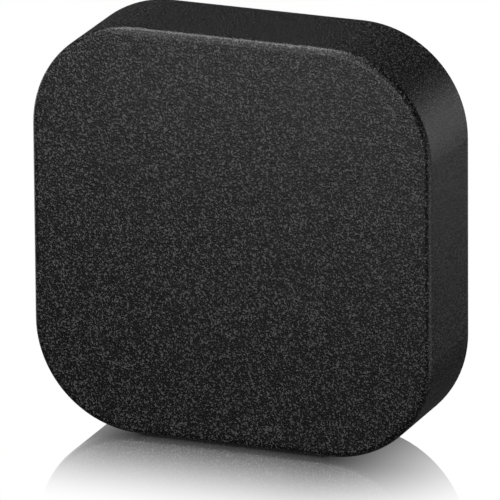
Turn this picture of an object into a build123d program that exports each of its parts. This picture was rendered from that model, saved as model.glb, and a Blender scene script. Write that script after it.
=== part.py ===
from build123d import *
import os

# Streaming media player: a square plastic housing with large rounded corners that stands upright on
# its lower side wall, its lid towards -Y and its sockets in the left wall (-X).
# The origin is the centre of the surface it stands on. All sizes are in millimetres.
#
# Inside, everything is stacked on the base plate, so heights are counted from the tips of the rubber
# feet towards the lid: layer(h) is the plane at height h, seen from the lid, with the housing's
# centre as its origin. wall_plane(x) is a plane across X, whose local x is that same height h and
# whose local y is the distance above the housing's centre.

os.makedirs("parts", exist_ok=True)

# ---------------------------------------------------------------- housing sizes
side = 98.0              # width and height of the square housing
shell_depth = 24.5       # lid face to rear rim
corner_radius = 25.5
lid_edge_radius = 1.6    # rounding where the lid meets the side wall
rim_edge_radius = 0.25
side_wall = 2.0
lid_wall = 2.2
rim_wall = 1.2           # the side wall where it is rebated for the base plate
base_thickness = 2.0
base_recess = 0.3        # base plate below the rim
base_gap = 0.15          # all round the base plate

# ---------------------------------------------------------------- feet and case screws
foot_radius = 5.5
foot_proud = 0.8         # the feet stand out past the rim
foot_seat = 0.8          # depth of the seat in the base plate
foot_gap = 0.1
foot_edge_radius = 0.35
corner_to_screw = 9.2    # outer wall to a screw axis, along the corner's diagonal
boss_radius = 3.2
pad_height = 2.2         # thickening of the base plate under each screw
pad_radius = 4.4
pilot_radius = 1.1
pilot_depth = 11.0
screw_fit = 0.02         # between a self-tapping screw's core and its hole
case_screw_length = 9.0
screw_head_radius = 2.4
screw_head_height = 1.6
screw_clearance = 0.3    # round a shank that passes through, and round a sunk head
head_seat_depth = 1.8
drive_span = 3.1         # cross recess, tip to tip
drive_slot = 0.7
drive_depth = 0.9

# ---------------------------------------------------------------- circuit board
pcb_thickness = 1.6
pcb_edge_gap = 1.2       # to the side wall
pcb_standoff = 3.4       # board above the base plate
standoff_radius = 3.0
pcb_screw_x = 28.0
pcb_screw_z = 30.0
pcb_screw_length = 4.2
boss_clearance = 0.5     # board hole round each boss

# ---------------------------------------------------------------- heights above the feet
rim_level = foot_proud
base_outer = rim_level + base_recess
base_inner = base_outer + base_thickness
pad_top = base_inner + pad_height
pcb_bottom = base_inner + pcb_standoff
pcb_top = pcb_bottom + pcb_thickness
lid_outer = rim_level + shell_depth
lid_inner = lid_outer - lid_wall
overall_depth = lid_outer

# ---------------------------------------------------------------- places that several pieces share
half = side / 2
inner_half = half - side_wall
screw_offset = half - corner_radius + (corner_radius - corner_to_screw) / 2**0.5
screw_pitch = 2 * screw_offset

# ---------------------------------------------------------------- sockets in the left wall
socket_gap = 0.1         # socket face behind the wall, which is thinned there to rim_wall
port_spacing = 1.6       # between neighbouring socket bodies
cutout_margin = 0.3      # wall opening round a socket's mouth
cutout_chamfer = 0.3
pocket_margin = 1.0

jack_width, jack_height, jack_length = 9.0, 11.0, 14.0
jack_axis_height = 6.5
jack_bore_radius = 3.2
jack_bore_depth = 9.5
jack_pin_radius = 1.0
jack_pin_setback = 0.7
pin_tip_radius = 0.4
pin_root_radius = 0.7    # where the pin is riveted through the jack's rear wall
jack_edge_radius = 1.5
jack_leaf_start, jack_leaf_length = 2.0, 7.0
jack_leaf_width, jack_leaf_sheet = 2.5, 0.3
jack_leg_place = 7.0     # spring leg behind the jack's face
plug_radius = 2.75       # the barrel plug that the leaf presses on
strap_sheet = 0.5
leg_reach = 1.0          # soldered legs below the board
leg_clearance = 0.2      # board slot round a leg

switch_width, switch_height, switch_length = 4.7, 5.0, 3.6
button_axis_height = 3.0
button_radius = 1.2
button_gap = 0.15
button_sink = 0.2        # button face below the wall face
button_edge_radius = 0.2
button_flange_radius = 2.0
button_flange_thickness = 0.8
button_travel = 0.3
plunger_radius = 1.1
plunger_reach = 1.2      # plunger standing out of the switch
plunger_hold = 0.9       # plunger inside the switch
plunger_gap = 0.08
plunger_overtravel = 0.2

video_width, video_height, video_length = 15.0, 6.2, 11.5
video_mouth_width, video_mouth_height = 14.0, 4.6
video_mouth_chamfer = 1.6
video_mouth_depth = 9.6
video_tongue_width, video_tongue_height = 10.6, 1.8
video_tongue_setback = 0.9
video_contact_rows = (10, 9)      # above and below the tongue
video_contact_pitch = 1.0
video_contact_setback = 0.5       # contacts behind the tongue's tip
video_contact_width, video_contact_sheet = 0.45, 0.2
video_tail_steps = (1.4, 0.6)     # soldered tails behind the socket
video_tab_places = (2.5, 9.0)
tab_width = 1.6

lan_width, lan_height, lan_length = 15.9, 13.4, 15.8
shield_sheet = 0.3
lan_fit = 0.05
lan_mouth_width, lan_mouth_height = 11.9, 6.9
lan_mouth_top = 3.1      # roof of the mouth below the top of the shield
lan_key_widths = (6.3, 3.4)
lan_key_step = 1.35
lan_mouth_depth = 12.6
lan_contact_count = 8
lan_contact_pitch = 1.02
lan_contact_width = 0.45
lan_contact_sheet = 0.3
lan_contact_drop = 2.1           # into the mouth, below its roof
lan_contact_front, lan_contact_slope = 2.2, 8.0
lan_contact_cover = 1.0          # insulator over the contacts' upper run
lan_tail_setback = 2.0
lan_tab_place = 7.5

# Socket centres above the housing's centre, from the top of the row down.
row_length = jack_width + switch_width + video_width + lan_width + 3 * port_spacing
jack_z = row_length / 2 - jack_width / 2
switch_z = jack_z - (jack_width + switch_width) / 2 - port_spacing
video_z = switch_z - (switch_width + video_width) / 2 - port_spacing
lan_z = video_z - (video_width + lan_width) / 2 - port_spacing

# Socket heights above the feet.
jack_h = pcb_top + jack_axis_height
video_h = pcb_top + video_height / 2
button_h = pcb_top + button_axis_height
lan_h = pcb_top + lan_height / 2
lan_mouth_h = pcb_top + lan_height - lan_mouth_top - lan_mouth_height / 2

thin_wall_x = -half + rim_wall
socket_x = thin_wall_x + socket_gap

on_layer = (Align.CENTER, Align.CENTER, Align.MIN)       # a block standing on its plane
behind_face = (Align.CENTER, Align.CENTER, Align.MAX)    # a block reaching in from its plane


def layer(h):
    """The plane at height h above the feet, seen from the lid."""
    return Plane(origin=(0, overall_depth / 2 - h, half), x_dir=(1, 0, 0), z_dir=(0, -1, 0))


def wall_plane(x):
    """The plane across X at x, in height above the feet and distance above the housing's centre."""
    return Plane(origin=(x, overall_depth / 2, half), x_dir=(0, -1, 0), z_dir=(-1, 0, 0))


def side_plane(z):
    """The plane across Z at z above the housing's centre, in x and height above the feet."""
    return Plane(origin=(0, overall_depth / 2, half + z), x_dir=(1, 0, 0), z_dir=(0, 0, -1))


def save(piece, name):
    """Labels a finished piece and writes it as parts/name.step."""
    piece.part.label = name
    export_step(piece.part, f"parts/{name}.step")


def housing_outline(inset):
    """The housing's rounded square, drawn inset from the outer faces."""
    RectangleRounded(side - 2 * inset, side - 2 * inset, corner_radius - inset)


def video_outline(grow):
    """The D-shaped video mouth, its narrow side towards the board."""
    low = video_h - video_mouth_height / 2
    high = video_h + video_mouth_height / 2
    reach = video_mouth_width / 2
    corner = video_mouth_chamfer
    Polygon(
        (high, video_z - reach),
        (high, video_z + reach),
        (low + corner, video_z + reach),
        (low, video_z + reach - corner),
        (low, video_z - reach + corner),
        (low + corner, video_z - reach),
        align=None,
    )
    if grow:
        offset(amount=grow, kind=Kind.INTERSECTION)


def lan_outline(grow):
    """The network mouth: the plug's rectangle, stepped down to the latch's key towards the board."""
    with Locations((lan_mouth_h, lan_z)):
        Rectangle(lan_mouth_height + 2 * grow, lan_mouth_width + 2 * grow)
    floor = lan_mouth_h - lan_mouth_height / 2
    for steps, key_width in enumerate(lan_key_widths, start=1):
        depth = steps * lan_key_step
        with Locations((floor - depth / 2, lan_z)):
            Rectangle(depth + 2 * grow, key_width + 2 * grow)


# ================================================================ housing
# ---------------------------------------------------------------- upper shell
# Lid and side walls in one moulding, open towards the base plate. The left wall is thinned behind
# the sockets; the right wall is thinned in front of the infrared receiver and the light pipe.
ir_z, ir_width, ir_height, ir_length = 4.0, 5.0, 7.0, 3.8
led_z, led_size, led_height = 14.0, 3.0, 1.4
window_wall = 0.8
window_margin = 1.0
pipe_size = 2.4
pipe_level = pcb_top + 6.0      # axis of the light pipe's outer run
ir_level = pcb_top + ir_height / 2

pocket_high = pcb_top + lan_height + pocket_margin

with BuildPart() as upper_shell:
    with BuildSketch(layer(rim_level)):
        housing_outline(0)
    extrude(amount=shell_depth)
    fillet(upper_shell.faces().sort_by(Axis.Y)[0].edges(), lid_edge_radius)
    fillet(upper_shell.faces().sort_by(Axis.Y)[-1].edges(), rim_edge_radius)
    with BuildSketch(layer(rim_level)):
        housing_outline(rim_wall)
    extrude(amount=base_inner - rim_level, mode=Mode.SUBTRACT)
    with BuildSketch(layer(base_inner)):
        housing_outline(side_wall)
    extrude(amount=lid_inner - base_inner, mode=Mode.SUBTRACT)
    with BuildSketch(layer(pad_top)):
        with GridLocations(screw_pitch, screw_pitch, 2, 2):
            Circle(boss_radius)
    extrude(amount=lid_inner - pad_top)
    with BuildSketch(layer(pad_top)):
        with GridLocations(screw_pitch, screw_pitch, 2, 2):
            Circle(pilot_radius)
    extrude(amount=pilot_depth, mode=Mode.SUBTRACT)
    # Thinned wall in front of the sockets, open towards the base so that they slide straight in.
    with BuildSketch(wall_plane(thin_wall_x)):
        with Locations(((base_inner + pocket_high) / 2, 0)):
            Rectangle(pocket_high - base_inner, row_length + 2 * pocket_margin)
    extrude(amount=-side_wall, mode=Mode.SUBTRACT)
    # Openings for the plugs and the reset button.
    with BuildSketch(wall_plane(thin_wall_x)):
        video_outline(cutout_margin)
    extrude(amount=rim_wall, mode=Mode.SUBTRACT)
    with BuildSketch(wall_plane(thin_wall_x)):
        lan_outline(cutout_margin)
        with Locations((jack_h, jack_z)):
            Circle(jack_bore_radius)
        with Locations((button_h, switch_z)):
            Circle(button_radius + button_gap)
    extrude(amount=rim_wall, mode=Mode.SUBTRACT)
    port_face = upper_shell.faces().filter_by(Axis.X).sort_by(Axis.X)[0]
    chamfer(port_face.inner_wires().edges(), cutout_chamfer)
    # Thin windows for the infrared receiver and the status light, cut from the inside.
    with BuildSketch(wall_plane(half - window_wall)):
        with Locations((ir_level, ir_z)):
            Rectangle(ir_height + 2 * window_margin, ir_width + 2 * window_margin)
        with Locations((pipe_level, led_z)):
            Rectangle(pipe_size + 2 * window_margin, pipe_size + 2 * window_margin)
    extrude(amount=side_wall - window_wall, mode=Mode.SUBTRACT)
save(upper_shell, "upper_shell")

# ---------------------------------------------------------------- base plate
# Drops into the rim's rebate. It carries the board's standoffs, the seats of the feet, which hide
# the case screws, and two rows of vent slots.
vent_count, vent_pitch = 9, 4.0
vent_width, vent_length = 1.6, 8.0
vent_row_inset = 12.0    # outer wall to a row of vents
label_width, label_height = 46.0, 24.0
label_thickness = 0.12
label_sink = 0.15
label_radius = 2.0
label_gap = 0.2          # between the label and its sunk panel
head_seat_top = base_outer + foot_seat + head_seat_depth

with BuildPart() as base_plate:
    with BuildSketch(layer(base_outer)):
        housing_outline(rim_wall + base_gap)
    extrude(amount=base_thickness)
    chamfer(base_plate.faces().sort_by(Axis.Y)[-1].edges(), rim_edge_radius)
    with BuildSketch(layer(base_inner)):
        with GridLocations(screw_pitch, screw_pitch, 2, 2):
            Circle(pad_radius)
    extrude(amount=pad_height)
    with BuildSketch(layer(base_inner)):
        with GridLocations(2 * pcb_screw_x, 2 * pcb_screw_z, 2, 2):
            Circle(standoff_radius)
    extrude(amount=pcb_standoff)
    with BuildSketch(layer(base_outer)):
        with GridLocations(screw_pitch, screw_pitch, 2, 2):
            Circle(foot_radius + foot_gap)
    extrude(amount=foot_seat, mode=Mode.SUBTRACT)
    with BuildSketch(layer(base_outer)):
        with GridLocations(screw_pitch, screw_pitch, 2, 2):
            Circle(screw_head_radius + screw_clearance)
    extrude(amount=foot_seat + head_seat_depth, mode=Mode.SUBTRACT)
    with BuildSketch(layer(base_outer)):
        with GridLocations(screw_pitch, screw_pitch, 2, 2):
            Circle(pilot_radius + screw_clearance)
    extrude(amount=pad_top - base_outer, mode=Mode.SUBTRACT)
    with BuildSketch(layer(pcb_bottom - pcb_screw_length)):
        with GridLocations(2 * pcb_screw_x, 2 * pcb_screw_z, 2, 2):
            Circle(pilot_radius)
    extrude(amount=pcb_screw_length, mode=Mode.SUBTRACT)
    with BuildSketch(layer(base_outer)):
        with GridLocations(vent_pitch, side - 2 * vent_row_inset, vent_count, 2):
            SlotOverall(vent_length, vent_width, rotation=90)
    extrude(amount=base_thickness, mode=Mode.SUBTRACT)
    with BuildSketch(layer(base_outer)):
        RectangleRounded(
            label_width + 2 * label_gap, label_height + 2 * label_gap, label_radius + label_gap
        )
    extrude(amount=label_sink, mode=Mode.SUBTRACT)
save(base_plate, "base_plate")

# ---------------------------------------------------------------- rating label, left blank
with BuildPart() as rating_label:
    with BuildSketch(layer(base_outer + label_sink - label_thickness)):
        RectangleRounded(label_width, label_height, label_radius)
    extrude(amount=label_thickness)
save(rating_label, "rating_label")

# ---------------------------------------------------------------- rubber feet
with BuildPart() as rubber_feet:
    with BuildSketch(layer(0)):
        with GridLocations(screw_pitch, screw_pitch, 2, 2):
            Circle(foot_radius)
    extrude(amount=base_outer + foot_seat)
    fillet(rubber_feet.faces().group_by(Axis.Y)[-1].edges(), foot_edge_radius)
save(rubber_feet, "rubber_feet")


def cross_recess_screw(length):
    """One pan-head screw along +Z, its head's seat at the origin."""
    with BuildPart() as screw:
        Cylinder(screw_head_radius, screw_head_height, align=behind_face)
        Cylinder(pilot_radius - screw_fit, length, align=on_layer)
        with BuildSketch(Plane.XY.offset(-screw_head_height)):
            Rectangle(drive_span, drive_slot)
            Rectangle(drive_slot, drive_span)
        extrude(amount=drive_depth, mode=Mode.SUBTRACT)
    return screw.part


# ---------------------------------------------------------------- case screws, under the feet
with BuildPart(layer(head_seat_top)) as case_screws:
    with GridLocations(screw_pitch, screw_pitch, 2, 2):
        add(cross_recess_screw(case_screw_length))
save(case_screws, "case_screws")

# ================================================================ board and what lies under it
# ---------------------------------------------------------------- steel ballast plate
ballast_width, ballast_height, ballast_thickness = 76.0, 50.0, 1.5
ballast_radius = 3.0
sheet_thickness = 0.2

with BuildPart() as ballast_plate:
    with BuildSketch(layer(base_inner)):
        RectangleRounded(ballast_width, ballast_height, ballast_radius)
    extrude(amount=ballast_thickness)
save(ballast_plate, "ballast_plate")

# ---------------------------------------------------------------- insulating sheet on the ballast
with BuildPart() as insulating_sheet:
    with BuildSketch(layer(base_inner + ballast_thickness)):
        RectangleRounded(ballast_width, ballast_height, ballast_radius)
    extrude(amount=sheet_thickness)
save(insulating_sheet, "insulating_sheet")

# ---------------------------------------------------------------- places of the legs in the board
jack_strap_x = socket_x + jack_length + strap_sheet / 2
jack_leg_x = socket_x + jack_leg_place + jack_leaf_sheet / 2
lan_tail_x = socket_x + lan_length - lan_tail_setback
leg_bottom = pcb_bottom - leg_reach
ir_x = inner_half - 3.9
ir_leg_width, ir_leg_pitch = 0.5, 1.6
led_x = inner_half - 6.5
pipe_peg_radius = 0.6
pipe_peg_offset = 3.0

# ---------------------------------------------------------------- main circuit board
with BuildPart() as main_board:
    with BuildSketch(layer(pcb_bottom)):
        housing_outline(side_wall + pcb_edge_gap)
        with GridLocations(screw_pitch, screw_pitch, 2, 2):
            Circle(boss_radius + boss_clearance, mode=Mode.SUBTRACT)
        with GridLocations(2 * pcb_screw_x, 2 * pcb_screw_z, 2, 2):
            Circle(pilot_radius + screw_clearance, mode=Mode.SUBTRACT)
        with Locations((jack_strap_x, jack_z)):
            Rectangle(
                strap_sheet + 2 * leg_clearance,
                jack_leaf_width + 2 * leg_clearance,
                mode=Mode.SUBTRACT,
            )
        with Locations((jack_leg_x, jack_z)):
            Rectangle(
                jack_leaf_sheet + 2 * leg_clearance,
                jack_leaf_width + 2 * leg_clearance,
                mode=Mode.SUBTRACT,
            )
        with Locations((socket_x + lan_tab_place, lan_z)):
            with GridLocations(1, lan_width - shield_sheet, 1, 2):
                Rectangle(
                    tab_width + 2 * leg_clearance,
                    shield_sheet + 2 * leg_clearance,
                    mode=Mode.SUBTRACT,
                )
        for place in video_tab_places:
            with Locations((socket_x + place, video_z)):
                with GridLocations(1, video_width - shield_sheet, 1, 2):
                    Rectangle(
                        tab_width + 2 * leg_clearance,
                        shield_sheet + 2 * leg_clearance,
                        mode=Mode.SUBTRACT,
                    )
        with Locations((lan_tail_x, lan_z)):
            with GridLocations(1, lan_contact_pitch, 1, lan_contact_count):
                Circle(lan_contact_width / 2 + leg_clearance / 2, mode=Mode.SUBTRACT)
        with Locations((ir_x, ir_z)):
            with GridLocations(1, ir_leg_pitch, 1, 3):
                Circle(ir_leg_width / 2 + leg_clearance, mode=Mode.SUBTRACT)
        with Locations((led_x, led_z)):
            with GridLocations(1, 2 * pipe_peg_offset, 1, 2):
                Circle(pipe_peg_radius + leg_clearance / 2, mode=Mode.SUBTRACT)
    extrude(amount=pcb_thickness)
save(main_board, "main_board")

# ---------------------------------------------------------------- board screws, into the standoffs
with BuildPart(layer(pcb_top)) as board_screws:
    with GridLocations(2 * pcb_screw_x, 2 * pcb_screw_z, 2, 2):
        add(cross_recess_screw(pcb_screw_length).rotate(Axis.X, 180))
save(board_screws, "board_screws")

# ================================================================ chips and other board pieces
processor_x, processor_z = 6.0, 4.0
processor_size, processor_height = 17.0, 1.4
pad_thickness = 1.0
sink_size, sink_base, sink_fin_height = 40.0, 2.0, 6.0
fin_count, fin_pitch, fin_thickness = 9, 4.75, 1.2
chip_chamfer = 0.15

# ---------------------------------------------------------------- processor
with BuildPart(layer(pcb_top)) as processor:
    with Locations((processor_x, processor_z)):
        Box(processor_size, processor_size, processor_height, align=on_layer)
    chamfer(processor.faces().sort_by(Axis.Y)[0].edges(), chip_chamfer)
save(processor, "processor")

# ---------------------------------------------------------------- thermal pad
with BuildPart(layer(pcb_top + processor_height)) as thermal_pad:
    with Locations((processor_x, processor_z)):
        Box(processor_size, processor_size, pad_thickness, align=on_layer)
save(thermal_pad, "thermal_pad")

# ---------------------------------------------------------------- heatsink
sink_level = pcb_top + processor_height + pad_thickness

with BuildPart() as heatsink:
    with BuildSketch(layer(sink_level)):
        with Locations((processor_x, processor_z)):
            Rectangle(sink_size, sink_size)
    extrude(amount=sink_base)
    with BuildSketch(layer(sink_level + sink_base)):
        with Locations((processor_x, processor_z)):
            with GridLocations(fin_pitch, 1, fin_count, 1):
                Rectangle(fin_thickness, sink_size)
    extrude(amount=sink_fin_height)
save(heatsink, "heatsink")

# ---------------------------------------------------------------- plain chips, by place and size
chips = {
    "memory_chips": ([(-12.0, 10.5), (-12.0, -3.5)], (8.0, 12.0, 1.1)),
    "flash_chip": ([(18.5, -27.0)], (11.5, 13.0, 1.0)),
    "power_chip": ([(-13.0, 39.5)], (5.0, 5.0, 0.9)),
    "crystals": ([(-7.0, -25.0), (21.0, 31.0)], (3.2, 2.5, 0.8)),
}
for chip_name, (places, chip_size) in chips.items():
    with BuildPart(layer(pcb_top)) as chip:
        with Locations(*places):
            Box(*chip_size, align=on_layer)
        chamfer(chip.faces().group_by(Axis.Y)[0].edges(), chip_chamfer)
    save(chip, chip_name)

# ---------------------------------------------------------------- power inductors
inductor_size, inductor_height = 5.2, 3.0
inductor_chamfer = 0.9

with BuildPart() as power_inductors:
    with BuildSketch(layer(pcb_top)):
        with Locations((-20.5, 39.5), (-6.0, 39.5)):
            Rectangle(inductor_size, inductor_size)
        chamfer(vertices(), inductor_chamfer)
    extrude(amount=inductor_height)
save(power_inductors, "power_inductors")

# ---------------------------------------------------------------- ceramic capacitors
with BuildPart(layer(pcb_top)) as ceramic_capacitors:
    with Locations((4.6, -25.0)):
        with GridLocations(3.2, 3.0, 5, 2):
            Box(1.6, 0.8, 0.8, align=on_layer)
save(ceramic_capacitors, "ceramic_capacitors")

# ---------------------------------------------------------------- bulk capacitors
can_radius, can_height = 3.15, 7.0
can_foot, can_foot_height = 6.6, 0.9
can_edge_radius = 0.5

with BuildPart(layer(pcb_top)) as bulk_capacitors:
    with Locations((-27.0, 9.0), (-27.0, 18.0)):
        Box(can_foot, can_foot, can_foot_height, align=on_layer)
        Cylinder(can_radius, can_height, align=on_layer)
    fillet(bulk_capacitors.faces().group_by(Axis.Y)[0].edges(), can_edge_radius)
save(bulk_capacitors, "bulk_capacitors")

# ---------------------------------------------------------------- radio module and its shield
module_x, module_z = 8.0, 34.5
module_width, module_height, module_thickness = 16.0, 12.0, 0.8
module_shield_margin = 1.2
module_shield_height = 1.7

with BuildPart(layer(pcb_top)) as radio_module:
    with Locations((module_x, module_z)):
        Box(module_width, module_height, module_thickness, align=on_layer)
save(radio_module, "radio_module")

with BuildPart(layer(pcb_top + module_thickness)) as radio_shield:
    with Locations((module_x, module_z)):
        Box(
            module_width - 2 * module_shield_margin,
            module_height - 2 * module_shield_margin,
            module_shield_height,
            align=on_layer,
        )
    shield_base = radio_shield.faces().sort_by(Axis.Y)[-1]
    offset(amount=-shield_sheet, openings=shield_base)
save(radio_shield, "radio_shield")

# ---------------------------------------------------------------- stamped radio antennas
antenna_length, antenna_height, antenna_foot = 20.0, 6.5, 3.0
antenna_sheet = 0.3
antenna_from_edge = 1.5
antenna_slot, antenna_slot_length = 2.0, 15.0

for antenna_name, end in (("radio_antenna_upper", 1), ("radio_antenna_lower", -1)):
    edge_z = end * (half - side_wall - pcb_edge_gap - antenna_from_edge)
    with BuildPart(layer(pcb_top)) as antenna:
        with Locations((module_x, edge_z - end * antenna_foot / 2)):
            Box(antenna_length, antenna_foot, antenna_sheet, align=on_layer)
        with Locations((module_x, edge_z - end * antenna_sheet / 2)):
            Box(antenna_length, antenna_sheet, antenna_height, align=on_layer)
        slot_x = module_x + (antenna_length - antenna_slot_length) / 2
        with Locations((slot_x, edge_z - end * antenna_sheet / 2, antenna_slot)):
            Box(antenna_slot_length, antenna_sheet, antenna_slot, align=on_layer, mode=Mode.SUBTRACT)
    save(antenna, antenna_name)

# ---------------------------------------------------------------- network transformer
transformer_x, transformer_z = -23.5, -17.0
transformer_width, transformer_length, transformer_height = 7.0, 12.7, 5.4
transformer_lead_span, transformer_lead_width, transformer_lead_sheet = 9.6, 0.5, 0.25

with BuildPart(layer(pcb_top)) as network_transformer:
    with Locations((transformer_x, transformer_z, transformer_lead_sheet)):
        Box(transformer_width, transformer_length, transformer_height, align=on_layer)
    chamfer(network_transformer.faces().sort_by(Axis.Y)[0].edges(), 2 * chip_chamfer)
    with Locations((transformer_x, transformer_z)):
        with GridLocations(1, 1.4, 1, 8):
            Box(
                transformer_lead_span,
                transformer_lead_width,
                transformer_lead_sheet,
                align=on_layer,
            )
save(network_transformer, "network_transformer")

# ================================================================ sockets
# ---------------------------------------------------------------- power jack
leaf_level = jack_h - plug_radius - jack_leaf_sheet / 2

with BuildPart() as jack_spring:
    with BuildSketch(side_plane(jack_z)):
        with BuildLine():
            Polyline(
                (socket_x + jack_leaf_start, leaf_level),
                (jack_leg_x, leaf_level),
                (jack_leg_x, leg_bottom),
            )
        trace(line_width=jack_leaf_sheet)
    extrude(amount=jack_leaf_width / 2, both=True)
save(jack_spring, "jack_spring")

with BuildPart(wall_plane(socket_x)) as jack_pin:
    with Locations((jack_h, jack_z, -jack_pin_setback)):
        Cylinder(jack_pin_radius, jack_bore_depth - jack_pin_setback, align=behind_face)
    fillet(jack_pin.faces().sort_by(Axis.X)[0].edges(), pin_tip_radius)
    with Locations((jack_h, jack_z, -jack_bore_depth)):
        Cylinder(pin_root_radius, jack_length - jack_bore_depth, align=behind_face)
    with Locations(((jack_h + jack_pin_radius + leg_bottom) / 2, jack_z, -jack_length)):
        Box(
            jack_h + jack_pin_radius - leg_bottom,
            jack_leaf_width,
            strap_sheet,
            align=behind_face,
        )
save(jack_pin, "jack_pin")

with BuildPart() as jack_body:
    with BuildSketch(wall_plane(socket_x)):
        with Locations((pcb_top + jack_height / 2, jack_z)):
            Rectangle(jack_height, jack_width)
    extrude(amount=-jack_length)
    fillet(jack_body.faces().sort_by(Axis.Y)[0].edges().filter_by(Axis.X), jack_edge_radius)
    for hole_radius, hole_depth in ((jack_bore_radius, jack_bore_depth), (pin_root_radius, jack_length)):
        with BuildSketch(wall_plane(socket_x)):
            with Locations((jack_h, jack_z)):
                Circle(hole_radius)
        extrude(amount=-hole_depth, mode=Mode.SUBTRACT)
    add(jack_spring.part, mode=Mode.SUBTRACT)
save(jack_body, "jack_body")

# ---------------------------------------------------------------- video socket
tongue_half = video_tongue_height / 2
contact_front = socket_x + video_tongue_setback + video_contact_setback

with BuildPart() as video_contacts:
    for row, (contact_count, side_up) in enumerate(zip(video_contact_rows, (1, -1))):
        contact_level = video_h + side_up * (tongue_half + video_contact_sheet / 2)
        tail_x = socket_x + video_length + video_tail_steps[row]
        for index in range(contact_count):
            contact_z = video_z + (index - (contact_count - 1) / 2) * video_contact_pitch
            with BuildSketch(side_plane(contact_z)):
                with BuildLine():
                    Polyline(
                        (contact_front, contact_level),
                        (tail_x, contact_level),
                        (tail_x, pcb_top),
                    )
                trace(line_width=video_contact_sheet)
            extrude(amount=video_contact_width / 2, both=True)
save(video_contacts, "video_contacts")

with BuildPart() as video_insulator:
    with BuildSketch(wall_plane(socket_x + video_tongue_setback)):
        with Locations((video_h, video_z)):
            Rectangle(video_tongue_height, video_tongue_width)
    extrude(amount=video_tongue_setback - video_length)
    with BuildSketch(wall_plane(socket_x + video_mouth_depth)):
        video_outline(0)
    extrude(amount=video_mouth_depth - video_length)
    add(video_contacts.part, mode=Mode.SUBTRACT)
save(video_insulator, "video_insulator")

with BuildPart(wall_plane(socket_x)) as video_shell:
    with Locations((video_h, video_z)):
        Box(video_height, video_width, video_length, align=behind_face)
    with BuildSketch(wall_plane(socket_x)):
        video_outline(0)
    extrude(amount=-video_length, mode=Mode.SUBTRACT)
    for place in video_tab_places:
        with Locations(((video_h + leg_bottom) / 2, video_z, -place)):
            with GridLocations(1, video_width - shield_sheet, 1, 2):
                Box(video_h - leg_bottom, shield_sheet, tab_width)
save(video_shell, "video_shell")

# ---------------------------------------------------------------- network socket
lan_roof = lan_mouth_h + lan_mouth_height / 2

with BuildPart() as network_contacts:
    for index in range(lan_contact_count):
        contact_z = lan_z + (index - (lan_contact_count - 1) / 2) * lan_contact_pitch
        with BuildSketch(side_plane(contact_z)):
            with BuildLine():
                Polyline(
                    (lan_tail_x, leg_bottom),
                    (lan_tail_x, lan_roof + lan_contact_cover),
                    (socket_x + lan_contact_front, lan_roof + lan_contact_cover),
                    (socket_x + lan_contact_front, lan_roof - lan_contact_sheet),
                    (
                        socket_x + lan_contact_front + lan_contact_slope,
                        lan_roof - lan_contact_drop,
                    ),
                )
            trace(line_width=lan_contact_sheet)
        extrude(amount=lan_contact_width / 2, both=True)
save(network_contacts, "network_contacts")

insert_width = lan_width - 2 * (shield_sheet + lan_fit)
insert_height = lan_height - shield_sheet - lan_fit
insert_length = lan_length - shield_sheet - lan_fit

with BuildPart() as network_insert:
    with BuildSketch(wall_plane(socket_x)):
        with Locations((pcb_top + insert_height / 2, lan_z)):
            Rectangle(insert_height, insert_width)
    extrude(amount=-insert_length)
    with BuildSketch(wall_plane(socket_x)):
        lan_outline(0)
    extrude(amount=-lan_mouth_depth, mode=Mode.SUBTRACT)
    add(network_contacts.part, mode=Mode.SUBTRACT)
save(network_insert, "network_insert")

with BuildPart(wall_plane(socket_x)) as network_shield:
    with Locations((pcb_top + lan_height / 2, lan_z)):
        Box(lan_height, lan_width, lan_length, align=behind_face)
    with Locations((pcb_top + (lan_height - shield_sheet) / 2, lan_z)):
        Box(
            lan_height - shield_sheet,
            lan_width - 2 * shield_sheet,
            lan_length - shield_sheet,
            align=behind_face,
            mode=Mode.SUBTRACT,
        )
    with Locations(((pcb_top + leg_bottom) / 2, lan_z, -lan_tab_place)):
        with GridLocations(1, lan_width - shield_sheet, 1, 2):
            Box(pcb_top - leg_bottom, shield_sheet, tab_width)
save(network_shield, "network_shield")

# ================================================================ reset button
# ---------------------------------------------------------------- cap in the wall, with its flange
with BuildPart(wall_plane(thin_wall_x)) as reset_button:
    with Locations((button_h, switch_z)):
        Cylinder(button_radius, rim_wall - button_sink, align=on_layer)
        Cylinder(button_flange_radius, button_flange_thickness, align=behind_face)
    fillet(reset_button.faces().sort_by(Axis.X)[0].edges(), button_edge_radius)
save(reset_button, "reset_button")

# ---------------------------------------------------------------- switch behind the cap
plunger_x = thin_wall_x + button_flange_thickness
switch_x = plunger_x + plunger_reach

with BuildPart(wall_plane(plunger_x)) as switch_plunger:
    with Locations((button_h, switch_z)):
        Cylinder(plunger_radius, plunger_reach + plunger_hold, align=behind_face)
save(switch_plunger, "switch_plunger")

with BuildPart(wall_plane(switch_x)) as switch_body:
    with Locations((pcb_top + switch_height / 2, switch_z)):
        Box(switch_height, switch_width, switch_length, align=behind_face)
    with Locations((button_h, switch_z)):
        Cylinder(
            plunger_radius + plunger_gap,
            plunger_hold + button_travel + plunger_overtravel,
            align=behind_face,
            mode=Mode.SUBTRACT,
        )
save(switch_body, "switch_body")

# ================================================================ infrared receiver and status light
# ---------------------------------------------------------------- infrared receiver
ir_lens_radius, ir_lens_reach, ir_lens_edge = 1.9, 1.3, 0.8

with BuildPart(layer(pcb_top)) as ir_receiver:
    with Locations((ir_x, ir_z)):
        Box(ir_length, ir_width, ir_height, align=on_layer)
        with GridLocations(1, ir_leg_pitch, 1, 3):
            Box(
                ir_leg_width,
                ir_leg_width,
                pcb_thickness + leg_reach,
                align=behind_face,
            )
    with BuildSketch(wall_plane(ir_x + ir_length / 2)):
        with Locations((ir_level, ir_z)):
            Circle(ir_lens_radius)
    extrude(amount=-ir_lens_reach)
    fillet(ir_receiver.faces().sort_by(Axis.X)[-1].edges(), ir_lens_edge)
save(ir_receiver, "ir_receiver")

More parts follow.
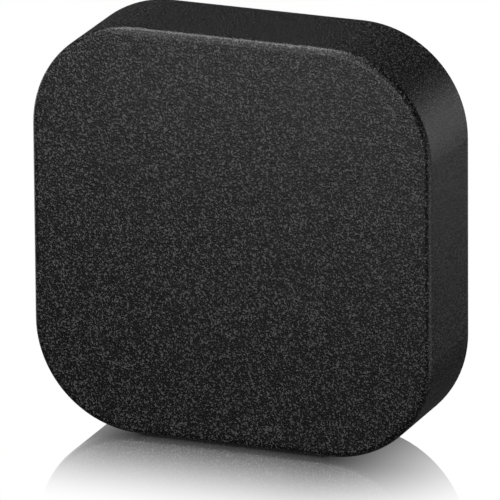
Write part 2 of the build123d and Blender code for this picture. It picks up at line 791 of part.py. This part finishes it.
# ---------------------------------------------------------------- status LED
with BuildPart(layer(pcb_top)) as status_led:
    with Locations((led_x, led_z)):
        Box(led_size, led_size, led_height, align=on_layer)
save(status_led, "status_led")

# ---------------------------------------------------------------- light pipe
# It stands on two legs over the LED and turns the light towards the right wall.
pipe_gap = 0.3
pipe_bottom = pcb_top + led_height + pipe_gap
pipe_left, pipe_right = led_x - pipe_size / 2, led_x + pipe_size / 2
pipe_low, pipe_high = pipe_level - pipe_size / 2, pipe_level + pipe_size / 2
pipe_end = inner_half - pipe_gap
pipe_leg_radius = 0.9

with BuildPart() as light_pipe:
    with BuildSketch(side_plane(led_z)):
        Polygon(
            (pipe_left, pipe_bottom),
            (pipe_right, pipe_bottom),
            (pipe_right, pipe_low),
            (pipe_end, pipe_low),
            (pipe_end, pipe_high),
            (pipe_right, pipe_high),
            (pipe_left, pipe_low),
            align=None,
        )
    extrude(amount=pipe_size / 2, both=True)
    with BuildSketch(layer(pipe_bottom)):
        with Locations((led_x, led_z)):
            SlotCenterToCenter(2 * pipe_peg_offset, 2 * pipe_leg_radius, rotation=90)
    extrude(amount=pipe_size / 2)
    with BuildSketch(layer(pcb_top)):
        with Locations((led_x, led_z)):
            with GridLocations(1, 2 * pipe_peg_offset, 1, 2):
                Circle(pipe_leg_radius)
    extrude(amount=pipe_bottom - pcb_top)
    with BuildSketch(layer(pcb_bottom)):
        with Locations((led_x, led_z)):
            with GridLocations(1, 2 * pipe_peg_offset, 1, 2):
                Circle(pipe_peg_radius)
    extrude(amount=pcb_thickness)
save(light_pipe, "light_pipe")
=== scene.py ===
# %% [markdown]
# # A streaming media player, finished for its portrait
#
# The box is a square, matt black moulding with large rounded corners. It stands on one of its side
# walls, with its lid towards us. Its shape was designed elsewhere, as one mesh per real piece, and
# arrives here ready to use. Our work is what a studio does: light it, choose where to look from, and
# give every piece the finish of its real material.
#
# Everything is in metres, and the box stands at the origin with +Z up and its lid towards -Y.

# %% Load the pieces
import math

import bpy
from mathutils import Matrix, Vector


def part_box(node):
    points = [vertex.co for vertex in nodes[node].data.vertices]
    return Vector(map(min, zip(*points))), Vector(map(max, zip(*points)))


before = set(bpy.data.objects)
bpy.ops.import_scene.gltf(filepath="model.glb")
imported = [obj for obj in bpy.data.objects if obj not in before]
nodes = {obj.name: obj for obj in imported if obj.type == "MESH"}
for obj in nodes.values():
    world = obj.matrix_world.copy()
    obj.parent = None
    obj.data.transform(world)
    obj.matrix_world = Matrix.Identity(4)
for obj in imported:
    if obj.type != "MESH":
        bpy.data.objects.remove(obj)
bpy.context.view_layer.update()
mm = 0.001

# %% [markdown]
# ## Measuring the box
#
# Later steps need a few sizes: how wide and how deep the box is, and where its middle lies.
# Reading them from the pieces keeps everything in step if the design changes.

# %% Read the sizes
shell_low, shell_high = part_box("upper_shell")
shell_centre = (shell_low + shell_high) / 2
side = shell_high.x - shell_low.x
print(f"side {side / mm:.1f} mm, shell depth {(shell_high.y - shell_low.y) / mm:.1f} mm")

# %% [markdown]
# ## The camera
#
# A long lens from far away keeps the box's edges nearly parallel, as in a catalogue picture. The
# camera stands a little to the right of the lid and a little above it. We build its orientation from
# three directions: where it looks, what is to its right, and what is up. That says exactly how far
# it turns, dips and rolls, which a "look at" constraint would hide.

# %% Place the camera
turn = math.radians(21.76)
height_angle = math.radians(17.85)
dip = math.radians(17.96)
roll = math.radians(-0.43)
distance = 26.28 * side
frame_width = 500
focal_length = 11217      # in the same units as the frame's width
sensor_width = 36
view_depth = 20

level_ahead = Vector((-math.sin(turn), math.cos(turn), 0))
level_right = Vector((math.cos(turn), math.sin(turn), 0))
ahead = math.cos(dip) * level_ahead - math.sin(dip) * Vector((0, 0, 1))
up = math.sin(dip) * level_ahead + math.cos(dip) * Vector((0, 0, 1))
right = math.cos(roll) * level_right + math.sin(roll) * up
up = math.cos(roll) * up - math.sin(roll) * level_right
place = shell_centre + distance * Vector(
    (
        math.sin(turn) * math.cos(height_angle),
        -math.cos(turn) * math.cos(height_angle),
        math.sin(height_angle),
    )
)

camera_data = bpy.data.cameras.new("portrait_camera")
camera_data.sensor_width = sensor_width
camera_data.lens = sensor_width * focal_length / frame_width
camera_data.clip_end = view_depth
camera = bpy.data.objects.new("portrait_camera", camera_data)
camera.matrix_world = Matrix.Translation(place) @ Matrix((right, up, -ahead)).transposed().to_4x4()
bpy.context.scene.collection.objects.link(camera)
bpy.context.scene.camera = camera
print(f"lens {camera_data.lens:.0f} mm at {distance:.2f} m")

# %% [markdown]
# ## Small helpers for shader nodes
#
# Every finish below is a handful of shader nodes. Three helpers keep the cells short: one adds a
# node, sets its inputs by name and returns it, one starts a material with its principled shader,
# and one makes a neutral colour.

# %% Node helpers
def add_node(tree, kind, links=None, **settings):
    """A new node of this kind; settings are its properties, links its inputs: a socket or a value."""
    node = tree.nodes.new(kind)
    for name, value in settings.items():
        setattr(node, name, value)
    for name, value in (links or {}).items():
        if isinstance(value, bpy.types.NodeSocket):
            tree.links.new(value, node.inputs[name])
        else:
            node.inputs[name].default_value = value
    return node


def start_material(name, **inputs):
    """A material with a principled shader: returns the material, its tree, the shader and the place."""
    material = bpy.data.materials.new(name)
    material.use_nodes = True
    tree = material.node_tree
    shader = tree.nodes["Principled BSDF"]
    for key, value in inputs.items():
        shader.inputs[key.replace("_", " ")].default_value = value
    where = add_node(tree, "ShaderNodeTexCoord").outputs["Object"]
    return material, tree, shader, where


def grey(level):
    """A neutral colour."""
    return (level, level, level, 1.0)

# %% [markdown]
# The next helpers are the vocabulary of all finishes. `mottle` is a cloudy value between 0 and 1 with
# features of a given size. `spread` maps such a value to the range that an input needs. `blend`
# turns it into a colour, and `raise_grain` turns it into relief.

# %% Texture helpers
def mottle(tree, where, size, detail=1.0, stretch=None):
    """Cloudy variation with features of this size, pulled out along the axes that stretch gives."""
    if stretch:
        squeeze = tuple(1 / s for s in stretch)
        where = add_node(
            tree, "ShaderNodeVectorMath", {0: where, 1: squeeze}, operation="MULTIPLY"
        ).outputs[0]
    cloud = add_node(
        tree, "ShaderNodeTexNoise", {"Vector": where, "Scale": 1 / size, "Detail": detail}
    )
    return cloud.outputs["Fac"]


def spread(tree, value, low, high, start=0.3, end=0.7):
    """The value's stretch from start to end, eased to run from low to high."""
    limits = {"Value": value, "From Min": start, "From Max": end, "To Min": low, "To Max": high}
    return add_node(
        tree, "ShaderNodeMapRange", limits, interpolation_type="SMOOTHSTEP"
    ).outputs["Result"]


def blend(tree, share, first, second):
    """The first colour where share is 0, the second where it is 1."""
    mixer = add_node(tree, "ShaderNodeMix", data_type="RGBA")
    for socket, value in ((mixer.inputs[0], share), (mixer.inputs[6], first), (mixer.inputs[7], second)):
        if isinstance(value, bpy.types.NodeSocket):
            tree.links.new(value, socket)
        else:
            socket.default_value = value
    return mixer.outputs[2]


def raise_grain(tree, shader, height, depth):
    """Relief of this depth on the shader's surface."""
    bump = add_node(tree, "ShaderNodeBump", {"Height": height, "Strength": 1.0, "Distance": depth})
    tree.links.new(bump.outputs[0], shader.inputs["Normal"])


def coat(material, *names):
    """Gives these pieces one finish."""
    for name in names:
        slots = nodes[name].data.materials
        slots.clear()
        slots.append(material)
    print(f"{material.name}: {', '.join(names)}")

# %% [markdown]
# ## The table
#
# The box stands on a glossy white table that mirrors it softly: the image is strong where the box
# touches the table and fades out within a few centimetres. On a real table the lacquer isn't quite
# smooth, so what is further from it blurs away. Here the table is a white glow mixed with a mirror,
# and the mirror's share falls with the distance from the box's foot. Close to the foot a narrow band takes
# the glow away, a painted contact shadow, so that the mirror stands alone there and gives the dark line
# where the two meet.
#
# The glow keeps the table evenly white. The table is hidden from the box's own reflections, so the
# light on the box comes from the lamps alone.

# %% Make the table
lid_rounding = 1.6 * mm
touching_half_width = 22 * mm
contact_half = Vector(
    (touching_half_width, (shell_high.y - shell_low.y) / 2 - lid_rounding, 0)
)
fade_start, fade_end = -4.5 * mm, 51 * mm
# Width of the painted contact shadow: within this distance of the box's foot the glow is taken away.
painted_shadow_width = 2.2 * mm
table_half = 6.0
table_gap = 0.05 * mm      # keeps the table's face from sharing a plane with the box's foot

table_material = bpy.data.materials.new("lacquered_white_table")
table_material.use_nodes = True
tree = table_material.node_tree
tree.nodes.clear()
where = add_node(tree, "ShaderNodeTexCoord").outputs["Object"]
offset = add_node(
    tree, "ShaderNodeVectorMath", {0: where, 1: (0, shell_centre.y, 0)}, operation="SUBTRACT"
)
folded = add_node(tree, "ShaderNodeVectorMath", {0: offset.outputs[0]}, operation="ABSOLUTE")
past = add_node(
    tree, "ShaderNodeVectorMath", {0: folded.outputs[0], 1: contact_half}, operation="SUBTRACT"
)
outside = add_node(tree, "ShaderNodeVectorMath", {0: past.outputs[0]}, operation="MAXIMUM")
gap = add_node(tree, "ShaderNodeVectorMath", {0: outside.outputs[0]}, operation="LENGTH")
# The first range fades the mirror into the glow with distance; the second is a painted contact shadow that
# takes the glow away right at the foot.
fade, painted_contact_shadow = (
    add_node(
        tree,
        "ShaderNodeMapRange",
        {"Value": gap.outputs["Value"], "From Min": start, "From Max": end},
        interpolation_type="SMOOTHSTEP",
    ).outputs["Result"]
    for start, end in ((fade_start, fade_end), (0, painted_shadow_width))
)
whiteness = add_node(tree, "ShaderNodeMath", {0: fade, 1: painted_contact_shadow}, operation="MULTIPLY").outputs[0]
glow = add_node(tree, "ShaderNodeEmission", {"Color": grey(1.0), "Strength": 1.0})
mirror = add_node(tree, "ShaderNodeBsdfGlossy", {"Color": grey(1.0), "Roughness": 0.0})
mix = add_node(
    tree,
    "ShaderNodeMixShader",
    {0: whiteness, 1: mirror.outputs[0], 2: glow.outputs[0]},
)
add_node(tree, "ShaderNodeOutputMaterial", {"Surface": mix.outputs[0]})

table_mesh = bpy.data.meshes.new("table")
corners = [(-1, -1), (1, -1), (1, 1), (-1, 1)]
table_mesh.from_pydata(
    [(x * table_half, y * table_half, -table_gap) for x, y in corners], [], [(0, 1, 2, 3)]
)
table = bpy.data.objects.new("table", table_mesh)
table.data.materials.append(table_material)
table.visible_diffuse = False
table.visible_glossy = False
table.visible_shadow = False
bpy.context.scene.collection.objects.link(table)
print("table ready, its mirror image fading over", round((fade_end - fade_start) / mm), "mm")

# %% [markdown]
# ## The room
#
# The room is white where we look at it, and also where the table mirrors it. The box itself should
# be lit by the lamps, so for every other kind of ray the room is a dim grey. A black box in an
# evenly white room would look flat.

# %% Make the room
dim_level = 0.05
room = bpy.data.worlds.new("white_room")
room.use_nodes = True
tree = room.node_tree
tree.nodes.clear()
ray = add_node(tree, "ShaderNodeLightPath")
seen = add_node(
    tree,
    "ShaderNodeMath",
    {0: ray.outputs["Is Camera Ray"], 1: ray.outputs["Is Singular Ray"]},
    operation="MAXIMUM",
)
white = add_node(tree, "ShaderNodeBackground", {"Color": grey(1.0), "Strength": 1.0})
dim = add_node(tree, "ShaderNodeBackground", {"Color": grey(1.0), "Strength": dim_level})
mix = add_node(
    tree, "ShaderNodeMixShader", {0: seen.outputs[0], 1: dim.outputs[0], 2: white.outputs[0]}
)
add_node(tree, "ShaderNodeOutputWorld", {"Surface": mix.outputs[0]})
bpy.context.scene.world = room
bpy.context.scene.view_settings.view_transform = "Standard"
print("room ready")

# %% [markdown]
# ## The lamps
#
# A dark, slightly shiny moulding is lit by what it mirrors. So each lamp is a soft panel put where
# one part of the box looks for its reflection: low, wide panels in front for the lid, bright
# softboxes above for the lid's upper edge, a strip at the right for the lid's right edge, and weak
# panels behind and at the left so that the other sides read too.

# %% Hang the lamps
def hang_lamp(name, spot, aim, width, height, radiance):
    """A rectangular soft panel at spot, turned towards aim; radiance is the glow of its surface."""
    data = bpy.data.lights.new(name, "AREA")
    data.shape = "RECTANGLE"
    data.size = width
    data.size_y = height
    data.energy = radiance * math.pi * width * height
    lamp = bpy.data.objects.new(name, data)
    direction = Vector(aim) - Vector(spot)
    lamp.location = spot
    lamp.rotation_euler = direction.to_track_quat("-Z", "Y").to_euler()
    lamp.visible_camera = False
    bpy.context.scene.collection.objects.link(lamp)
    print(f"{name}: {width:.2f} x {height:.2f} m, {data.energy:.2f} W")


middle = (0, 0, 0.05)
hang_lamp("low_front_lamp", (-0.07, -0.30, 0.105), (-0.07, 0, 0.105), 0.26, 0.10, 3.0)
hang_lamp("table_front_lamp", (-0.05, -0.30, 0.0), (-0.05, 0, 0.0), 0.20, 0.10, 0.55)
hang_lamp("front_fill", (-0.08, -0.32, 0.40), (-0.08, 0, 0.35), 0.50, 0.30, 1.1)
hang_lamp("top_front_softbox", (-0.22, -0.33, 0.48), middle, 0.25, 0.22, 2.6)
hang_lamp("overhead_softbox", (-0.20, 0.06, 0.62), middle, 0.26, 0.46, 5.5)
hang_lamp("right_strip", (0.57, -0.07, -0.10), middle, 0.55, 0.26, 1.15)
hang_lamp("rear_right_panel", (0.40, 0.44, 0.05), middle, 0.42, 0.30, 0.7)
hang_lamp("rear_right_spot", (0.43, 0.37, 0.20), middle, 0.20, 0.18, 0.7)
hang_lamp("left_panel", (-0.55, -0.25, 0.12), middle, 0.30, 0.30, 0.6)
hang_lamp("rear_left_panel", (-0.50, 0.30, -0.05), middle, 0.30, 0.26, 1.2)

# %% [markdown]
# ## The black grained plastic
#
# The housing is moulded in a steel tool whose walls were eroded by sparks. That leaves a fine, even,
# pebbled grain, with bumps under half a millimetre apart. A dark plastic shows it in two ways: each
# bump's slopes mirror another part of the studio, and paler colour on the bump tops paints their glints.
#
# Modelling each bump would take millions of faces. Relief in the shader costs nothing and looks the
# same at arm's length. Two cloudy textures give it: one for the pebbles and a finer one on top.

# %% Mix the grained plastic
fine_share, fine_ratio = 0.4, 2.3         # the finer texture's weight, and how much finer it is
# Painted highlight: between these heights the grain tops turn paler, colour that stands in for glints on
# their facets.
highlight_start, highlight_end = 0.75, 0.86         # heights between which the plastic pales
polish_change = 0.05                      # how much smoother than average the tops are


def grained_plastic(name, valley, highlight_speck_colour, roughness, pebble, depth):
    """Moulded plastic with pebbles of this size: dark valleys, and smoother peaks painted paler as
    highlights.
    """
    material, tree, shader, where = start_material(name, IOR=1.5)
    pebbles = mottle(tree, where, pebble)
    fine = mottle(tree, where, pebble / fine_ratio)
    height = add_node(
        tree, "ShaderNodeMath", {0: fine, 1: fine_share, 2: pebbles}, operation="MULTIPLY_ADD"
    ).outputs[0]
    # Painted highlight: the tallest grain tops get the paler colour, standing in for the glints of their
    # facets.
    painted_highlight_specks = spread(tree, height, 0.0, 1.0, highlight_start, highlight_end)
    tree.links.new(blend(tree, painted_highlight_specks, grey(valley), grey(highlight_speck_colour)), shader.inputs["Base Color"])
    polish = spread(tree, pebbles, roughness + polish_change, roughness - polish_change)
    tree.links.new(polish, shader.inputs["Roughness"])
    raise_grain(tree, shader, height, depth)
    return material


shell_plastic = grained_plastic("black_grained_plastic", 0.003, 0.13, 0.25, 0.40 * mm, 0.10 * mm)
coat(shell_plastic, "upper_shell")

# %% [markdown]
# The base and the reset button come from smoother tools: the same plastic with a finer and
# shallower grain and fainter painted highlights on its bump tops, duller between its bumps.

# %% Mix the base's plastic
base_plastic = grained_plastic("black_fine_plastic", 0.004, 0.030, 0.38, 0.30 * mm, 0.02 * mm)
coat(base_plastic, "base_plate", "reset_button")

# %% [markdown]
# ## Rubber and silicone
#
# The feet are soft black rubber, which scatters light almost evenly and shows a faint bloom: a
# cloudy grey film that rubber grows with age. The thermal pad on the processor is a grey silicone
# filled with ceramic powder, so it has the same build with other colours and a floury speckle.

# %% Mix the soft materials
def soft_rubber(name, body, bloom, speck, depth):
    """A soft, dull material: its body colour, a cloudy bloom, and a fine speckle of this size."""
    material, tree, shader, where = start_material(name, IOR=1.45)
    cloud = mottle(tree, where, 4 * mm, 3.0)
    speckle = mottle(tree, where, speck)
    tree.links.new(
        blend(tree, spread(tree, cloud, 0.0, 1.0), body, bloom),
        shader.inputs["Base Color"],
    )
    tree.links.new(spread(tree, cloud, 0.72, 0.88), shader.inputs["Roughness"])
    raise_grain(tree, shader, speckle, depth)
    return material


foot_rubber = soft_rubber("black_rubber", grey(0.012), grey(0.026), 0.25 * mm, 0.03 * mm)
coat(foot_rubber, "rubber_feet")
pad_silicone = soft_rubber(
    "grey_silicone", (0.16, 0.20, 0.24, 1), (0.22, 0.26, 0.30, 1), 0.12 * mm, 0.01 * mm
)
coat(pad_silicone, "thermal_pad")

# %% [markdown]
# ## Films
#
# Two thin films are in the box. The rating label outside is a matt printed film: pale grey, left
# blank, with the faint ripple that adhesive leaves. The sheet over the ballast plate is a
# cream-coloured insulating film that lets some light through and has a satin face.

# %% Mix the films
def thin_film(name, first, second, roughness, ripple_depth, light_through):
    """A film with slow colour drift and a soft ripple; light_through is its share of passed light."""
    material, tree, shader, where = start_material(
        name, IOR=1.5, Transmission_Weight=light_through
    )
    drift = mottle(tree, where, 9 * mm, 2.0)
    ripple = mottle(tree, where, 2.5 * mm, 2.0, stretch=(1, 1, 3))
    fibre = mottle(tree, where, 0.2 * mm)
    tree.links.new(
        blend(tree, spread(tree, drift, 0.0, 1.0), first, second),
        shader.inputs["Base Color"],
    )
    tree.links.new(
        spread(tree, fibre, roughness - 0.06, roughness + 0.06),
        shader.inputs["Roughness"],
    )
    raise_grain(tree, shader, ripple, ripple_depth)
    return material


label_film = thin_film(
    "printed_label_film", (0.30, 0.30, 0.31, 1), (0.34, 0.34, 0.345, 1), 0.45, 0.03 * mm, 0.0
)
coat(label_film, "rating_label")
insulation_film = thin_film(
    "insulating_film", (0.62, 0.56, 0.38, 1), (0.70, 0.64, 0.46, 1), 0.35, 0.08 * mm, 0.25
)
coat(insulation_film, "insulating_sheet")

# %% [markdown]
# ## Metals
#
# Every metal here is a base colour, a direction of working and a coating. Rolled sheet has long
# faint scratches along the rolling direction, which are cloudy textures pulled out along one axis.
# A plated surface also has stains some millimetres wide. Bead-blasted aluminium has neither, but
# even tiny dents. One recipe takes these differences as sizes.

# %% Mix the metals
def worked_metal(name, colour, stain, roughness, scratch, stretch, depth):
    """Metal with scratches of this width pulled out by stretch, and cloudy stains in its colour."""
    material, tree, shader, where = start_material(name, Metallic=1.0)
    stains = mottle(tree, where, 6 * mm, 3.0)
    scratches = mottle(tree, where, scratch, 2.0, stretch)
    tree.links.new(
        blend(tree, spread(tree, stains, 0.0, 1.0), colour, stain),
        shader.inputs["Base Color"],
    )
    wear = spread(tree, scratches, roughness - 0.10, roughness + 0.10)
    tree.links.new(wear, shader.inputs["Roughness"])
    raise_grain(tree, shader, scratches, depth)
    return material


along_x, along_z, no_way = (30, 1, 1), (1, 1, 30), (1, 1, 1)
black_steel = worked_metal(
    "blackened_steel", grey(0.060), grey(0.10), 0.38, 0.10 * mm, no_way, 0.004 * mm
)
coat(black_steel, "case_screws", "board_screws")
zinc_steel = worked_metal(
    "zinc_plated_steel", (0.50, 0.51, 0.53, 1), (0.60, 0.60, 0.58, 1), 0.34, 0.06 * mm, along_x, 0.003 * mm
)
coat(zinc_steel, "ballast_plate")
tin = worked_metal(
    "tin_plated_sheet", (0.64, 0.64, 0.62, 1), (0.55, 0.55, 0.54, 1), 0.24, 0.05 * mm, along_z, 0.002 * mm
)
coat(
    tin,
    "crystals",
    "radio_shield",
    "radio_antenna_upper",
    "radio_antenna_lower",
    "video_shell",
    "network_shield",
)
blasted_aluminium = worked_metal(
    "blasted_aluminium", grey(0.55), grey(0.62), 0.48, 0.09 * mm, no_way, 0.010 * mm
)
coat(blasted_aluminium, "heatsink")
drawn_aluminium = worked_metal(
    "drawn_aluminium", grey(0.72), grey(0.66), 0.22, 0.04 * mm, along_z, 0.002 * mm
)
coat(drawn_aluminium, "bulk_capacitors")
gold_plate = worked_metal(
    "gold_plate", (0.83, 0.60, 0.25, 1), (0.75, 0.50, 0.18, 1), 0.22, 0.04 * mm, along_x, 0.001 * mm
)
coat(gold_plate, "jack_pin", "jack_spring", "video_contacts", "network_contacts")

# %% [markdown]
# ## The circuit board
#
# A board is woven glass set in resin, covered with copper tracks and a green lacquer. Through the
# lacquer the copper shows as paler, slightly raised areas with straight sides. A cell texture whose
# distance is measured along the axes gives such blocks, at two scales: wide copper areas, and
# fine tracks. The glass weave adds two crossing waves that dimple the lacquer.

# %% Mix the board
def lacquered_board(name):
    """Green solder lacquer over copper areas and tracks, on a glass weave."""
    material, tree, shader, where = start_material(name, IOR=1.5)
    areas = add_node(
        tree,
        "ShaderNodeTexVoronoi",
        {"Vector": where, "Scale": 1 / (7 * mm)},
        distance="CHEBYCHEV",
        feature="F1",
    )
    tracks = add_node(
        tree,
        "ShaderNodeTexVoronoi",
        {"Vector": where, "Scale": 1 / (1.4 * mm), "Randomness": 0.6},
        distance="CHEBYCHEV",
        feature="F1",
    )
    copper = spread(tree, areas.outputs["Distance"], 1.0, 0.0, 0.34, 0.36)
    track = spread(tree, tracks.outputs["Distance"], 1.0, 0.0, 0.30, 0.34)
    metal_below = add_node(
        tree, "ShaderNodeMath", {0: copper, 1: track}, operation="MAXIMUM"
    ).outputs[0]
    bare = (0.006, 0.060, 0.022, 1)
    covered = (0.014, 0.130, 0.050, 1)
    tree.links.new(blend(tree, metal_below, bare, covered), shader.inputs["Base Color"])
    weave = [
        add_node(
            tree,
            "ShaderNodeTexWave",
            {"Vector": where, "Scale": 1 / (6.3 * mm), "Distortion": 0.4},
            bands_direction=direction,
        ).outputs["Fac"]
        for direction in "XZ"
    ]
    woven = add_node(tree, "ShaderNodeMath", {0: weave[0], 1: weave[1]}, operation="MULTIPLY")
    height = add_node(
        tree, "ShaderNodeMath", {0: woven.outputs[0], 1: 0.2, 2: metal_below}, operation="MULTIPLY_ADD"
    )
    tree.links.new(
        spread(tree, mottle(tree, where, 3 * mm), 0.22, 0.34),
        shader.inputs["Roughness"],
    )
    raise_grain(tree, shader, height.outputs[0], 0.03 * mm)
    return material


board_lacquer = lacquered_board("green_board_lacquer")
coat(board_lacquer, "main_board", "radio_module")

# %% [markdown]
# ## Moulded packages, sockets and ceramics
#
# Chips are moulded in black epoxy full of glass powder, so their faces are dull and finely
# sandy. Socket bodies are glass-filled black plastic, smoother but with short pale fibres at the
# surface. Both come from one recipe, with the grain's size and the colour of the fibres changed. The
# small capacitors are bare brown ceramic, which is a third set of values.

# %% Mix the filled plastics
def filled_plastic(name, body, filler, roughness, grain, stretch, depth):
    """A moulded material with filler showing as grains of this size and stretch."""
    material, tree, shader, where = start_material(name, IOR=1.55)
    grains = mottle(tree, where, grain, 2.0, stretch)
    shows = spread(tree, grains, 0.0, 1.0, 0.45, 0.75)
    tree.links.new(blend(tree, shows, body, filler), shader.inputs["Base Color"])
    patches = mottle(tree, where, 3 * mm)
    tree.links.new(
        spread(tree, patches, roughness - 0.07, roughness + 0.07),
        shader.inputs["Roughness"],
    )
    raise_grain(tree, shader, grains, depth)
    return material


epoxy = filled_plastic("chip_epoxy", grey(0.012), grey(0.040), 0.55, 0.08 * mm, no_way, 0.010 * mm)
coat(
    epoxy,
    "processor",
    "memory_chips",
    "flash_chip",
    "power_chip",
    "power_inductors",
    "network_transformer",
)
socket_plastic = filled_plastic(
    "socket_plastic", grey(0.008), grey(0.030), 0.42, 0.10 * mm, (1, 1, 6), 0.005 * mm
)
coat(socket_plastic, "jack_body", "video_insulator", "network_insert", "switch_body")
brown_ceramic = filled_plastic(
    "brown_ceramic", (0.20, 0.115, 0.060, 1), (0.30, 0.19, 0.11, 1), 0.50, 0.06 * mm, no_way, 0.003 * mm
)
coat(brown_ceramic, "ceramic_capacitors")

# %% [markdown]
# ## The pieces that light passes
#
# The infrared receiver's lens is a resin that looks almost black and wine-red in strong light. The
# status light's package is white with a warm phosphor. The light pipe beside it is clear acrylic.
# All are smooth mouldings with slight flow marks, so they share one recipe, and differ in
# colour and in how much light goes through.

# %% Mix the resins
def smooth_resin(name, first, second, light_through, roughness):
    """A glossy resin with flow marks; light_through is the share of light that it passes."""
    material, tree, shader, where = start_material(
        name, IOR=1.49, Transmission_Weight=light_through
    )
    flow = mottle(tree, where, 1.5 * mm, 2.0, stretch=(3, 1, 1))
    tree.links.new(
        blend(tree, spread(tree, flow, 0.0, 1.0), first, second),
        shader.inputs["Base Color"],
    )
    tree.links.new(spread(tree, flow, roughness, roughness + 0.08), shader.inputs["Roughness"])
    raise_grain(tree, shader, flow, 0.01 * mm)
    return material


lens_resin = smooth_resin("dark_lens_resin", (0.010, 0.002, 0.004, 1), (0.030, 0.004, 0.009, 1), 0.3, 0.08)
coat(lens_resin, "ir_receiver")
white_package = smooth_resin("white_package", (0.74, 0.73, 0.68, 1), (0.80, 0.77, 0.62, 1), 0.0, 0.30)
coat(white_package, "status_led", "switch_plunger")
clear_acrylic = smooth_resin("clear_acrylic", (0.92, 0.94, 0.95, 1), (0.96, 0.97, 0.98, 1), 0.95, 0.04)
coat(clear_acrylic, "light_pipe")
